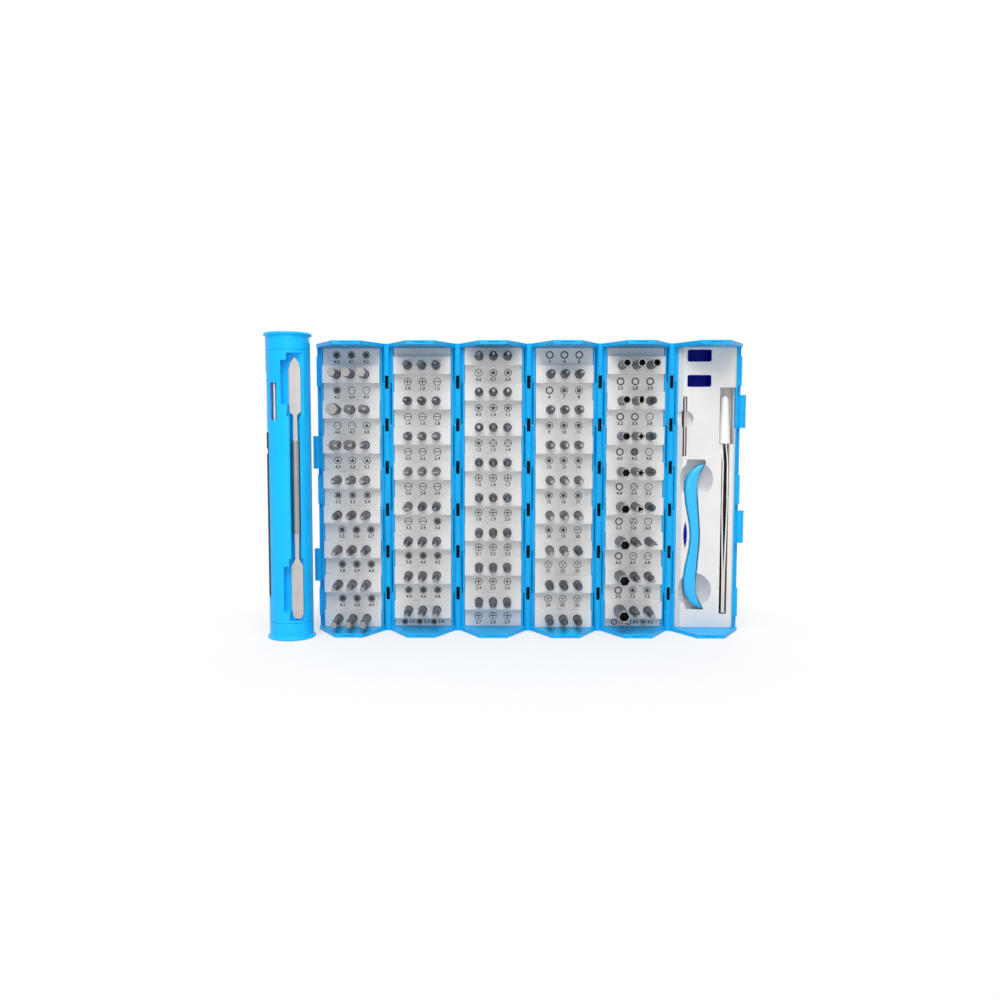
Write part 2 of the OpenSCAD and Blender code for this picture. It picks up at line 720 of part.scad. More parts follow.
function spudger_edge(side) = [for (k = [0 : len(spudger_share) - 1])
  [side * spudger_half[k] * blade_w / 2, spudger_share[k] * spudger_h]];
function spear_edge(side) = [for (k = [0 : len(spear_share) - 1])
  [side * spear_half[k] * blade_w / 2, spear_share[k] * spudger_h]];
function backwards(points) = [for (k = [len(points) - 1 : -1 : 0]) points[k]];

module spudger() {
  mid_v = spudger_v + blade_t / 2;
  color(bright_steel) at_tube() translate([spudger_u, 0, spudger_z0]) {
    through_face(spudger_v, spudger_v + blade_t) polygon(concat(spudger_edge(1), spear_edge(1),
      backwards(spear_edge(-1)), backwards(spudger_edge(-1))));
    translate([0, -mid_v, spudger_grip_share[0] * spudger_h])
      cylinder(r = spudger_r, h = (spudger_grip_share[1] - spudger_grip_share[0]) * spudger_h);
  }
}

module spudger_pocket() {
  low = spudger_z0 - pocket_end[0];
  high = spudger_z0 + spudger_h + pocket_end[1];
  left = spudger_u - blade_w / 2 - pocket_left;
  right = spudger_u + blade_w / 2 + pocket_right;
  back = spudger_v - seat_gap;
  grip_half = spudger_r + grip_room;
  front = tube_r + over;
  wide = spudger_z0 * [1, 1] + wide_pocket_share * spudger_h;
  thin = spudger_z0 * [1, 1] + thin_pocket_share * spudger_h;
  face_box([left, spudger_u + blade_w / 2 + pocket_left], [back, front], [low, wide[0]]);
  face_box([left, right], [back, front], [wide[1], high]);
  face_box([spudger_u - grip_half, spudger_u + grip_half],
    [spudger_v + blade_t / 2 - grip_half, front], thin);
  for (share = recess_share)
    face_box([recess_u, spudger_u], [back, front], spudger_z0 * [1, 1] + share * spudger_h);
}

// A round channel along the driver, open to the left
module driver_channel(r, z0, z1) {
  translate([-driver_u, -driver_v, z0]) cylinder(r = r, h = z1 - z0);
  translate([-driver_u - tube_r, -driver_v - r, z0]) cube([tube_r, 2 * r, z1 - z0]);
}

driver_end_z = driver_z + spin_h + grip_h;
spin_gap = 0.1;
module tube_body() {
  shaft_room = shaft_r + driver_gap;
  color(azure) at_tube() difference() {
    translate([0, 0, cap_h]) cylinder(r = tube_r, h = tube_h - 2 * cap_h);
    for (z = [cap_h - over, tube_h - cap_h - plug_h - seat_gap])
      translate([0, 0, z]) cylinder(r = plug_r + seat_gap, h = plug_h + over + seat_gap);
    spudger_pocket();
    driver_channel(grip_r + driver_gap, driver_z - driver_gap, driver_end_z + driver_gap);
    driver_channel(shaft_room, driver_end_z, driver_end_z + shaft_h + driver_gap);
    face_box(slot_u, [driver_v, tube_r + over], driver_end_z * [1, 1] + slot_share * shaft_h);
  }
}

module cap() {
  cylinder(r = flange_r, h = flange_t);
  translate([0, 0, flange_t]) cylinder(r1 = flange_r, r2 = tube_r, h = flare_h);
  cylinder(r = tube_r, h = cap_h);
  cylinder(r = plug_r, h = cap_h + plug_h);
}

module bottom_cap() {
  color(azure) at_tube() cap();
}

module top_cap() {
  color(azure) at_tube() translate([0, 0, tube_h]) mirror([0, 0, 1]) cap();
}

// The driver: a spinning end cap on a stub, a grip and a shaft with a hexagon socket
stub_r = 1.5;
stub_h = 6;
stub_gap = 0.05;
socket_h = 8;
socket_play = 0.06;
waist_r = 4.2;
waist_h = 3;
waist_from_top = 12;

module at_driver(z) {
  at_tube() translate([-driver_u, -driver_v, z]) children();
}

module driver_grip() {
  top = grip_h - waist_from_top;
  color(navy) at_driver(driver_z + spin_h) {
    cylinder(r = grip_r, h = top);
    translate([0, 0, top]) cylinder(r = waist_r, h = waist_h);
    translate([0, 0, top + waist_h]) cylinder(r = grip_r, h = waist_from_top - waist_h);
    translate([0, 0, -stub_h]) cylinder(r = stub_r, h = stub_h);
  }
}

module driver_end_cap() {
  color(navy) at_driver(driver_z) difference() {
    cylinder(r = grip_r, h = spin_h - spin_gap);
    translate([0, 0, spin_h - stub_h - stub_gap]) cylinder(r = stub_r + stub_gap, h = stub_h + over);
  }
}

module driver_shaft() {
  color(bright_steel) at_driver(driver_end_z) difference() {
    cylinder(r = shaft_r, h = shaft_h);
    translate([0, 0, shaft_h - socket_h])
      cylinder(r = hex_af / sqrt(3) + socket_play, h = socket_h + over, $fn = 6);
  }
}

module shell_1() { shell(0); }
module shell_2() { shell(1); }
module shell_3() { shell(2); }
module shell_4() { shell(3); }
module shell_5() { shell(4); }
module shell_6() { shell(5); }
module bit_insert_1() { bit_insert(0); }
module bit_insert_2() { bit_insert(1); }
module bit_insert_3() { bit_insert(2); }
module bit_insert_4() { bit_insert(3); }
module bit_insert_5() { bit_insert(4); }
module hinge_pin_1() { hinge_pin(0); }
module hinge_pin_2() { hinge_pin(1); }
module hinge_pin_3() { hinge_pin(2); }
module hinge_pin_4() { hinge_pin(3); }
module hinge_pin_5() { hinge_pin(4); }
module hex_bits_1() { bit_group(0, "hex"); }
module spanner_bits_1() { bit_group(0, "spanner"); }
module triangle_bits_1() { bit_group(0, "triangle"); }
module square_bits_1() { bit_group(0, "square"); }
module pozi_bits_2() { bit_group(1, "pozi"); }
module slotted_bits_2() { bit_group(1, "slotted"); }
module hex_bits_2() { bit_group(1, "hex"); }
module tri_wing_bits_3() { bit_group(2, "tri_wing"); }
module star_bits_3() { bit_group(2, "star"); }
module four_wing_bits_3() { bit_group(2, "four_wing"); }
module cross_bits_3() { bit_group(2, "cross"); }
module six_lobe_bits_4() { bit_group(3, "six_lobe"); }
module tri_wing_bits_4() { bit_group(3, "tri_wing"); }
module nut_sockets_5() { bit_group(4, "nut"); }
module shaped_sockets_5() { bit_group(4, "shaped"); }
module pin_bits_5() { bit_group(4, "pin"); }
module pry_bit_5() { bit_group(4, "pry"); }
module scraper_bit_5() { bit_group(4, "scraper"); }
module six_lobe_bits_5() { bit_group(4, "six_lobe"); }

shell_1();
shell_2();
shell_3();
shell_4();
shell_5();
shell_6();
bit_insert_1();
bit_insert_2();
bit_insert_3();
bit_insert_4();
bit_insert_5();
tool_insert();
hinge_pin_1();
hinge_pin_2();
hinge_pin_3();
hinge_pin_4();
hinge_pin_5();
hex_bits_1();
spanner_bits_1();
triangle_bits_1();
square_bits_1();
pozi_bits_2();
slotted_bits_2();
hex_bits_2();
tri_wing_bits_3();
star_bits_3();
four_wing_bits_3();
cross_bits_3();
six_lobe_bits_4();
tri_wing_bits_4();
nut_sockets_5();
shaped_sockets_5();
pin_bits_5();
pry_bit_5();
scraper_bit_5();
six_lobe_bits_5();
tube_body();
top_cap();
bottom_cap();
spudger();
driver_grip();
driver_shaft();
driver_end_cap();
magnetiser();
opening_card();
opening_pick();
pry_tool();
tweezers_left_arm();
tweezers_right_arm();
tweezers_tip_cap();
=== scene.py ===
import json
import math

import bpy
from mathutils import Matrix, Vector


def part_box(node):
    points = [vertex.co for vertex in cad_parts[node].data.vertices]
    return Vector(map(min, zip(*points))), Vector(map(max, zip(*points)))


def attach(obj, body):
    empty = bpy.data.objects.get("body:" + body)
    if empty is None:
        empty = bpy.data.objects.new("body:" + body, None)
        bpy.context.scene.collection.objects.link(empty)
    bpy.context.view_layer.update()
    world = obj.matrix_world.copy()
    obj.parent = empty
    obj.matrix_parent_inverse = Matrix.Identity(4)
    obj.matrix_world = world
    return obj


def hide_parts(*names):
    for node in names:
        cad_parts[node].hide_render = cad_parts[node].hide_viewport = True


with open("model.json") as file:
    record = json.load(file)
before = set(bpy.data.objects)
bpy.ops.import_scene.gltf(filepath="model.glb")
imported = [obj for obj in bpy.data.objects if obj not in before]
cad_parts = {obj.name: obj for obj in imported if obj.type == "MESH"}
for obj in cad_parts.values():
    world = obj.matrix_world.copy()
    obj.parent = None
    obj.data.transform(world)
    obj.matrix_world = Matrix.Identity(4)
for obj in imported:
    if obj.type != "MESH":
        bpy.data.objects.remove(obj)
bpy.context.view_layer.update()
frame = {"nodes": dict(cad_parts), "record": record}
nodes = frame["nodes"]
bodyOf = {node: body for body, members in frame["record"]["behaviour"]["bodies"].items() for node in members}
mm = 0.001
samePoint = 0.001 * mm  # points nearer than this are one
samePlane = 0.05 * mm  # faces nearer than this to the outermost plane lie in it
facing = 0.99  # share of a normal along an axis from which its face looks that way
print("frame loaded:", len(nodes), "nodes")


# where the panels and the tube stand, read from the frame
def middle(nodeName):
    low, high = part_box(nodeName)
    return (low + high) / 2


panelX = [middle(f"bit_insert_{i}").x for i in range(1, 6)] + [middle("tool_insert").x]
hingeX = [middle(f"hinge_pin_{i}").x for i in range(1, 6)]
hingeY = middle("hinge_pin_1").y
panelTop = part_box("shell_1")[1].z
insertLow, insertHigh = (corner.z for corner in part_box("bit_insert_1"))
stripCount = 16  # raised and sunk strips up an insert, in turn
stripHigh = (insertHigh - insertLow) / stripCount
tubeAxis = middle("top_cap")
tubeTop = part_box("top_cap")[1].z


# height of a row of bits on an insert whose first row lies this many strips down
def rowHeight(stagger, row):
    return insertHigh - (stagger + 2 * row + 0.5) * stripHigh


# small tools used by every piece
def deselect():
    if bpy.context.object and bpy.context.object.mode != "OBJECT":
        bpy.ops.object.mode_set(mode="OBJECT")
    bpy.ops.object.select_all(action="DESELECT")


def activate(piece):
    deselect()
    piece.select_set(True)
    bpy.context.view_layer.objects.active = piece


def startEditing(piece, kind):
    activate(piece)
    bpy.ops.object.mode_set(mode="EDIT")
    bpy.ops.mesh.select_mode(type=kind)
    bpy.ops.mesh.select_all(action="DESELECT")


def selectWhere(piece, kind, test):
    startEditing(piece, kind)
    bpy.ops.object.mode_set(mode="OBJECT")  # the flags are set in object mode, then edit mode takes them over
    mesh = piece.data
    parts = {"FACE": mesh.polygons, "EDGE": mesh.edges, "VERT": mesh.vertices}[kind]
    count = 0
    for part in parts:
        part.select = bool(test(part))
        count += part.select
    bpy.ops.object.mode_set(mode="EDIT")
    return count


def addModifier(piece, kind, **settings):
    activate(piece)
    modifier = piece.modifiers.new(kind.lower(), kind)
    for name, value in settings.items():
        setattr(modifier, name, value)
    bpy.ops.object.modifier_apply(modifier=modifier.name)


def settle(piece, body, slot, material, *stoodFor):
    activate(piece)
    bpy.ops.object.transform_apply(location=True, rotation=True, scale=True)
    piece.data.materials.clear()
    piece.data.materials.append(material)
    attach(piece, body)
    if stoodFor:
        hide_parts(*stoodFor)
    deselect()
    return piece


# materials
def linear(hexColour):
    parts = [int(hexColour[k:k + 2], 16) / 255 for k in (1, 3, 5)]
    return [c / 12.92 if c <= 0.04045 else ((c + 0.055) / 1.055) ** 2.4 for c in parts] + [1.0]


def addNode(tree, kind, inputs=None, **settings):
    node = tree.nodes.new("ShaderNode" + kind)
    for name, value in settings.items():
        setattr(node, name, value)
    for name, value in (inputs or {}).items():
        if isinstance(value, bpy.types.NodeSocket):
            tree.links.new(value, node.inputs[name])
        else:
            node.inputs[name].default_value = value
    return node


def newMaterial(name):
    material = bpy.data.materials.new(name)
    material.use_nodes = True
    tree = material.node_tree
    tree.nodes.clear()
    return material, tree


def perMetre(sizeInMm):
    return 1 / (sizeInMm * mm)


# Injection-moulded plastic: a spark-eroded mould leaves a fine even grain,
# and the flow leaves faint clouds of tone
plasticLook = {"cloudDetail": 3.0, "grainDetail": 2.0, "from": 0.3, "to": 0.7, "roughSpread": 0.06,
               "bump": 0.35, "ior": 1.53, "coatRoughness": 0.08}


def mouldedPlastic(name, tone, shade, grainMm, grainDepth, roughness, cloudMm=26, coat=0.0, specular=0.5):
    look = plasticLook
    material, tree = newMaterial(name)
    place = addNode(tree, "TexCoord").outputs["Object"]
    clouds = addNode(tree, "TexNoise", {"Vector": place, "Scale": perMetre(cloudMm),
                                        "Detail": look["cloudDetail"]})
    grain = addNode(tree, "TexNoise", {"Vector": place, "Scale": perMetre(grainMm),
                                       "Detail": look["grainDetail"]}).outputs["Fac"]
    tint = addNode(tree, "ValToRGB", {"Fac": clouds.outputs["Fac"]})
    ends = (look["from"], look["to"])
    for stop, position, colour in zip(tint.color_ramp.elements, ends, (shade, tone)):
        stop.position = position
        stop.color = linear(colour)
    rough = addNode(tree, "MapRange", {"Value": grain, "From Min": ends[0], "From Max": ends[1],
                                       "To Min": roughness - look["roughSpread"],
                                       "To Max": roughness + look["roughSpread"]})
    bump = addNode(tree, "Bump", {"Height": grain, "Strength": look["bump"], "Distance": grainDepth * mm})
    shader = addNode(tree, "BsdfPrincipled", {"Base Color": tint.outputs["Color"],
                                              "Roughness": rough.outputs["Result"],
                                              "Normal": bump.outputs["Normal"], "IOR": look["ior"],
                                              "Specular IOR Level": specular, "Coat Weight": coat,
                                              "Coat Roughness": look["coatRoughness"]})
    addNode(tree, "OutputMaterial", {"Surface": shader.outputs["BSDF"]})
    return material


# Worked steel: draw or brush lines run one way, so the light breaks up across them and stays whole along them
steelLook = {"lineDetail": 3.0, "smearMm": 7, "smearDetail": 2.0, "smearShare": 0.4, "tintFrom": 0.36,
             "tintTo": 0.64, "roughFrom": 0.35, "roughTo": 0.65, "duller": 0.07, "shinier": 0.05, "bump": 0.3}


def workedSteel(name, tone, shade, roughness, lineMm, runMm, along, depth):
    look = steelLook
    material, tree = newMaterial(name)
    place = addNode(tree, "TexCoord").outputs["Object"]
    stretch = [perMetre(runMm) if axis == along else perMetre(lineMm) for axis in "XYZ"]
    mapped = addNode(tree, "Mapping", {"Vector": place, "Scale": stretch})
    lines = addNode(tree, "TexNoise", {"Vector": mapped.outputs["Vector"], "Scale": 1.0,
                                       "Detail": look["lineDetail"]}).outputs["Fac"]
    smears = addNode(tree, "TexNoise", {"Vector": place, "Scale": perMetre(look["smearMm"]),
                                        "Detail": look["smearDetail"]}).outputs["Fac"]
    both = addNode(tree, "Mix", {"Factor": look["smearShare"], "A": lines, "B": smears}).outputs["Result"]
    tint = addNode(tree, "ValToRGB", {"Fac": both})
    ends = (look["tintFrom"], look["tintTo"])
    for stop, position, colour in zip(tint.color_ramp.elements, ends, (shade, tone)):
        stop.position = position
        stop.color = linear(colour)
    rough = addNode(tree, "MapRange", {"Value": both, "From Min": look["roughFrom"],
                                       "From Max": look["roughTo"], "To Min": roughness + look["duller"],
                                       "To Max": roughness - look["shinier"]})
    bump = addNode(tree, "Bump", {"Height": lines, "Strength": look["bump"], "Distance": depth * mm})
    shader = addNode(tree, "BsdfPrincipled", {"Base Color": tint.outputs["Color"], "Metallic": 1.0,
                                              "Roughness": rough.outputs["Result"],
                                              "Normal": bump.outputs["Normal"]})
    addNode(tree, "OutputMaterial", {"Surface": shader.outputs["BSDF"]})
    return material


# Azure ABS of the panels: satin, its grain is 0.12 mm in the mould and drawn at 0.3 mm so that it shows
azureAbs = mouldedPlastic("azure_ABS_moulded", "#10AEEC", "#0BA5E6", 0.3, 0.02, 0.36, specular=0.22)
# Azure ABS of the tube: smoother mould, a little brighter and glossier
tubeAbs = mouldedPlastic("azure_ABS_tube", "#10BCFF", "#0CB4FA", 0.3, 0.012, 0.3, specular=0.22)
# Light grey ABS of the inserts: matt, so the strips look even and soft
greyAbs = mouldedPlastic("light_grey_ABS_matt", "#E0DFDD", "#D8D7D5", 0.28, 0.03, 0.55)
# Light grey ABS in the finger dishes: polished, and a darker grey that is painted shade for the hollows
paintedShadeDishAbs = mouldedPlastic("light_grey_ABS_painted_dish_shade", "#B6B6BA", "#AEAEB2", 0.28, 0.01, 0.3)
# Navy polycarbonate round the magnets and of the pick: smooth and dark
navyPlastic = mouldedPlastic("navy_polycarbonate", "#051798", "#041284", 0.5, 0.006, 0.45, specular=0.08)
# Dark navy nylon of the driver's grip: matt with a coarse grain for the fingers
gripNylon = mouldedPlastic("navy_nylon_grip", "#141A33", "#0E1228", 0.6, 0.06, 0.5, cloudMm=9)
# Azure acetal of the pry tool: dense and polished, so it carries clear highlights
azureAcetal = mouldedPlastic("azure_acetal_polished", "#14B8F2", "#0EAEEC", 1.2, 0.004, 0.2, coat=0.3)
# White vinyl of the tip cap: soft and milky
milkyVinyl = mouldedPlastic("white_vinyl_soft", "#F6F4F0", "#EEECE8", 0.8, 0.01, 0.38)
# Printed ink: thin dark grey, dry and slightly uneven
labelInk = mouldedPlastic("dark_grey_pad_print_ink", "#48484C", "#3C3C40", 0.25, 0.004, 0.6, cloudMm=2)
# Nickel-plated bit steel: turned along Y, satin, mid grey
bitSteel = workedSteel("nickel_plated_steel_satin", "#86858A", "#626166", 0.4, 0.35, 5.0, "Y", 0.006)
# Ends of the bits: a brighter steel that is a painted highlight, where the front faces catch the light
paintedHighlightSteel = workedSteel("steel_bit_ends_painted_highlight", "#A6A5A4", "#8E8D8C", 0.4, 0.2, 2.5, "X", 0.004)
# Inside of the sockets: near-black steel, painted shade so they read as deep holes
paintedShadeSteel = workedSteel("steel_painted_recess_shade", "#2B2B2E", "#1D1D20", 0.5, 0.35, 5.0, "Y", 0.006)
# Brushed stainless steel: brush lines up the tool
brushedSteel = workedSteel("stainless_steel_brushed", "#CDCAC6", "#BCB9B6", 0.3, 0.3, 16.0, "Z", 0.006)
# Polished stainless steel of the tweezers: bright fronts with fine lines up the arms
polishedSteel = workedSteel("stainless_steel_polished", "#F2EFEB", "#DAD6D2", 0.2, 0.6, 200.0, "Z", 0.004)
# Sides of the tweezers' arms: dark steel that is painted shade, so each arm has a dark outline
paintedSideShadeSteel = workedSteel("stainless_steel_painted_side_shade", "#55514F", "#3C3937", 0.34, 0.4, 30.0, "Z", 0.006)
# Ground stainless steel of the spudger's grip: cross-ground, duller and darker than the blades
grippedSteel = workedSteel("stainless_steel_cross_ground", "#A9A5A3", "#969291", 0.42, 0.4, 6.0, "X", 0.01)
# Dark pin steel: dull, and its dark colour is partly painted shade for its windows
darkPinSteelAndShade = workedSteel("dark_pin_steel_and_painted_shade", "#2A2D3A", "#171922", 0.42, 0.4, 3.0, "Z", 0.006)
print("materials made")


# paints the faces that pass the test with one more material
def paintFaces(piece, material, test):
    piece.data.materials.append(material)
    if selectWhere(piece, "FACE", test):
        piece.active_material_index = len(piece.data.materials) - 1
        bpy.ops.object.material_slot_assign()
    deselect()


# angles in degrees: below the first, faces lie flat together; above the second, an edge gets a radius;
# below the third, faces are shaded as one surface
easeLook = {"flatAngle": 0.6, "sharpAngle": 32, "smoothAngle": 34}


def smooth(piece, angle=easeLook["smoothAngle"], weighted=True):
    activate(piece)
    bpy.ops.object.shade_smooth_by_angle(angle=math.radians(angle))
    if weighted:
        addModifier(piece, "WEIGHTED_NORMAL", keep_sharp=True)


# the test for sharp edges longer than the shortest that may be rounded
def sharpEdge(piece, angle, shortest):
    sides = {}
    for face in piece.data.polygons:
        for key in face.edge_keys:
            sides.setdefault(key, []).append(face.normal.copy())

    def isSharp(edge):
        a, b = (piece.data.vertices[k].co for k in edge.vertices)
        normals = sides[edge.key]
        return (a - b).length > shortest and len(normals) == 2 and normals[0].angle(normals[1]) > angle
    return isSharp


# a copy of a solid as it leaves the mould: joined faces, small radii on its sharp edges
def easedCopy(nodeName, radius, segments=2, shortest=0, weighted=True, panes=False):
    flatAngle, sharpAngle = math.radians(easeLook["flatAngle"]), math.radians(easeLook["sharpAngle"])
    piece = bpy.data.objects.new(nodeName + "_eased", nodes[nodeName].data.copy())
    bpy.context.scene.collection.objects.link(piece)
    activate(piece)
    bpy.ops.mesh.customdata_custom_splitnormals_clear()
    bpy.ops.object.mode_set(mode="EDIT")
    bpy.ops.mesh.select_all(action="SELECT")
    bpy.ops.mesh.remove_doubles(threshold=2 * samePoint)
    bpy.ops.mesh.dissolve_limited(angle_limit=flatAngle)
    if panes:  # small panes keep their shape when their edges are rounded, wide many-sided faces do not
        bpy.ops.mesh.quads_convert_to_tris(quad_method="BEAUTY", ngon_method="BEAUTY")
        bpy.ops.mesh.tris_convert_to_quads(face_threshold=flatAngle, shape_threshold=math.pi)
    bpy.ops.object.mode_set(mode="OBJECT")
    if radius and shortest:
        selectWhere(piece, "EDGE", sharpEdge(piece, sharpAngle, shortest * mm))
        bpy.ops.mesh.bevel(offset=radius * mm, segments=segments, affect="EDGES", clamp_overlap=False)
        bpy.ops.object.mode_set(mode="OBJECT")
    elif radius:
        addModifier(piece, "BEVEL", width=radius * mm, segments=segments, limit_method="ANGLE",
                    angle_limit=sharpAngle, use_clamp_overlap=False, harden_normals=False)
    smooth(piece, weighted=weighted)
    return piece


# a turned piece: a profile of (radius, height) spun round an upright axis
def turned(name, profile, axis, steps):
    deselect()
    bpy.ops.mesh.primitive_plane_add(size=mm, location=(0, 0, 0))
    piece = bpy.context.object
    piece.name = name
    bpy.ops.object.mode_set(mode="EDIT")
    bpy.ops.mesh.merge(type="CENTER")
    bpy.ops.mesh.select_all(action="SELECT")
    first = profile[0]
    bpy.ops.transform.translate(value=(first[0] * mm, 0, first[1] * mm))
    for before, after in zip(profile, profile[1:]):
        bpy.ops.mesh.extrude_vertices_move(TRANSFORM_OT_translate={
            "value": ((after[0] - before[0]) * mm, 0, (after[1] - before[1]) * mm)})
    bpy.ops.mesh.select_all(action="SELECT")
    bpy.ops.mesh.spin(steps=steps, angle=2 * math.pi, center=(0, 0, 0), axis=(0, 0, 1))
    bpy.ops.mesh.select_all(action="SELECT")
    bpy.ops.mesh.remove_doubles(threshold=samePoint)
    bpy.ops.mesh.normals_make_consistent(inside=False)
    bpy.ops.object.mode_set(mode="OBJECT")
    piece.location = axis
    return piece


# panel shells
shellLook = {"edgeRadius": 0.16, "markInset": 0.62, "markDepth": 0.35, "markShare": 0.42, "knuckleReach": 3.6,
             "knuckleClose": 0.1}


def addPlateMarks(piece, index):
    # a shallow recess in the middle of each end plate's front edge
    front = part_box(f"shell_{index + 1}")[0].y
    selectWhere(piece, "FACE", lambda face: face.normal.y < -facing and face.center.y < front + samePlane)
    bpy.ops.mesh.inset(thickness=shellLook["markInset"] * mm, depth=0)
    bpy.ops.transform.resize(value=(shellLook["markShare"], 1, 1), center_override=(panelX[index], front, 0))
    bpy.ops.mesh.extrude_region_move(TRANSFORM_OT_translate={"value": (0, shellLook["markDepth"] * mm, 0)})
    bpy.ops.object.mode_set(mode="OBJECT")


def closeKnuckles(piece):
    # the flat ends of the hinge knuckles grow a hair towards each other, so less light shows between them
    reach = shellLook["knuckleReach"] * mm

    def isKnuckleEnd(face, side):
        across = min(abs(face.center.x - x) for x in hingeX)
        beside = across < reach and abs(face.center.y - hingeY) < reach
        return beside and face.normal.z * side > facing and reach < face.center.z < panelTop - reach

    for side in (1, -1):
        selectWhere(piece, "FACE", lambda face: isKnuckleEnd(face, side))
        bpy.ops.transform.translate(value=(0, 0, side * shellLook["knuckleClose"] * mm))
        bpy.ops.object.mode_set(mode="OBJECT")


for index in range(6):
    name = f"shell_{index + 1}"
    shell = easedCopy(name, shellLook["edgeRadius"], panes=True)
    addPlateMarks(shell, index)
    closeKnuckles(shell)
    settle(shell, f"panel_{index + 1}", "shell_plastic", azureAbs, name)
print("shells done")

# inserts: the tool insert has two finger dishes, at shares of the panel's height
insertLook = {"edgeRadius": 0.22, "toolEdgeRadius": 0.2, "shortestEdge": 2.0, "dishX": -5.9,
              "dishRadius": 9.9, "dishHeights": (0.1466, 0.5337), "dishLip": 0.02, "dishSlopes": (0.05, 0.998)}
for index in range(5):
    name = f"bit_insert_{index + 1}"
    insert = easedCopy(name, insertLook["edgeRadius"], shortest=insertLook["shortestEdge"])
    settle(insert, f"panel_{index + 1}", "insert_plastic", greyAbs, name)
toolInsert = easedCopy("tool_insert", insertLook["toolEdgeRadius"])
settle(toolInsert, "panel_6", "insert_plastic", greyAbs, "tool_insert")
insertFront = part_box("tool_insert")[0].y


def inDish(face):
    steepest, flattest = insertLook["dishSlopes"]
    if face.center.y < insertFront + insertLook["dishLip"] * mm or not steepest < -face.normal.y < flattest:
        return False
    across = face.center.x - panelX[5] - insertLook["dishX"] * mm
    return any(math.hypot(across, face.center.z - share * panelTop) < insertLook["dishRadius"] * mm
               for share in insertLook["dishHeights"])


# the finger dish faces get the darker grey: painted shade
paintFaces(toolInsert, paintedShadeDishAbs, inDish)
print("inserts done")

# hinge pins and bits: the pins' dark steel is partly painted shade, the sockets' recesses get painted shade,
# the bits' ends a painted highlight
smallLook = {"pinRadius": 0.2, "bitRadius": 0.06, "bitSegments": 1, "endFacing": 0.95, "columnPitch": 8.0,
             "socketStagger": 0.5, "recessFrom": 0.2, "recessTo": 5.1, "floorFacing": 0.9,
             "rounded": ("hex", "triangle", "square", "six_lobe", "star")}


def inRecess(face, middleX, front):
    # walls and floor of a socket's recess: they lie behind its end and look at its axis, or out of it
    if not front + smallLook["recessFrom"] * mm < face.center.y < front + smallLook["recessTo"] * mm:
        return False
    pitch, stagger = smallLook["columnPitch"] * mm, smallLook["socketStagger"]
    axisX = middleX + round((face.center.x - middleX) / pitch) * pitch
    row = round((rowHeight(stagger, 0) - face.center.z) / stripHigh / 2)
    axisZ = rowHeight(stagger, row)
    outward = (face.center.x - axisX) * face.normal.x + (face.center.z - axisZ) * face.normal.z
    return outward < -samePoint or face.normal.y < -smallLook["floorFacing"]


def isBitEnd(face, front):
    return face.normal.y < -smallLook["endFacing"] and face.center.y < front + samePlane


for name in sorted(nodes):
    if name.startswith("hinge_pin"):
        # the pins' dark steel also stands in for the shade in their windows: partly painted shade
        settle(easedCopy(name, smallLook["pinRadius"]), bodyOf[name], "pin_steel", darkPinSteelAndShade, name)
    elif bodyOf[name].startswith("bits_"):
        rounded = name.split("_bits")[0] in smallLook["rounded"] or "sockets" in name
        radius = smallLook["bitRadius"] if rounded else 0
        bits = easedCopy(name, radius, smallLook["bitSegments"], weighted=rounded, panes=rounded)
        settle(bits, bodyOf[name], "bit_steel", bitSteel, name)
        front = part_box(name)[0].y
        # the front ends: painted highlight
        paintFaces(bits, paintedHighlightSteel, lambda face: isBitEnd(face, front))
        if "sockets" in name:
            # the recesses: painted shade
            paintFaces(bits, paintedShadeSteel, lambda face: inRecess(face, panelX[4], front))
print("pins and bits done")

# tube with its two caps: each has a flanged rim, a flare into its wall and a dished end
tubeLook = {"edgeRadius": 0.25, "flangeRadius": 13.1, "bodyRadius": 12.0, "capHigh": 9.6, "rimRadius": 0.9,
            "flareHigh": 1.3, "dishDepth": 0.9, "dishRadius": 9.6, "dishFoot": 1.2, "dishSide": 0.5,
            "sideShare": 0.8, "dishLip": 0.3, "chamfer": 0.5, "ease": 0.15, "arcSteps": 8, "turnSteps": 72}


def capProfile(look):
    outer, inner, rim, top = (look[key] for key in ("flangeRadius", "bodyRadius", "rimRadius", "capHigh"))
    dish, depth, steps = look["dishRadius"], look["dishDepth"], look["arcSteps"]
    points = [(0, depth), (dish - look["dishFoot"], depth),
              (dish - look["dishSide"], depth * look["sideShare"]),
              (dish, look["ease"]), (dish + look["dishLip"], 0)]
    for k in range(steps + 1):  # half a turn round the rim
        turn = math.radians(-90 + 180 * k / steps)
        points.append((outer - rim + rim * math.cos(turn), rim + rim * math.sin(turn)))
    for k in range(1, steps + 1):  # the flare runs from the flange into the wall in one soft hollow
        turn = math.radians(90 * k / steps)
        reach = (outer - rim - inner) * (1 - math.sin(turn))
        points.append((inner + reach, 2 * rim + look["flareHigh"] * (1 - math.cos(turn))))
    return points + [(inner, top - look["chamfer"]), (inner - look["ease"], top - look["ease"]),
                     (inner - look["chamfer"], top), (0, top)]


settle(easedCopy("tube_body", tubeLook["edgeRadius"]), "tube", "tube_plastic", tubeAbs, "tube_body")
baseProfile = capProfile(tubeLook)
lidProfile = [(r, tubeTop / mm - z) for r, z in baseProfile]
for name, profile in (("bottom_cap", baseProfile), ("top_cap", lidProfile)):
    cap = turned(name + "_flared", profile, (tubeAxis.x, tubeAxis.y, 0), tubeLook["turnSteps"])
    smooth(cap)
    settle(cap, "tube", "tube_plastic", tubeAbs, name)
print("tube done")

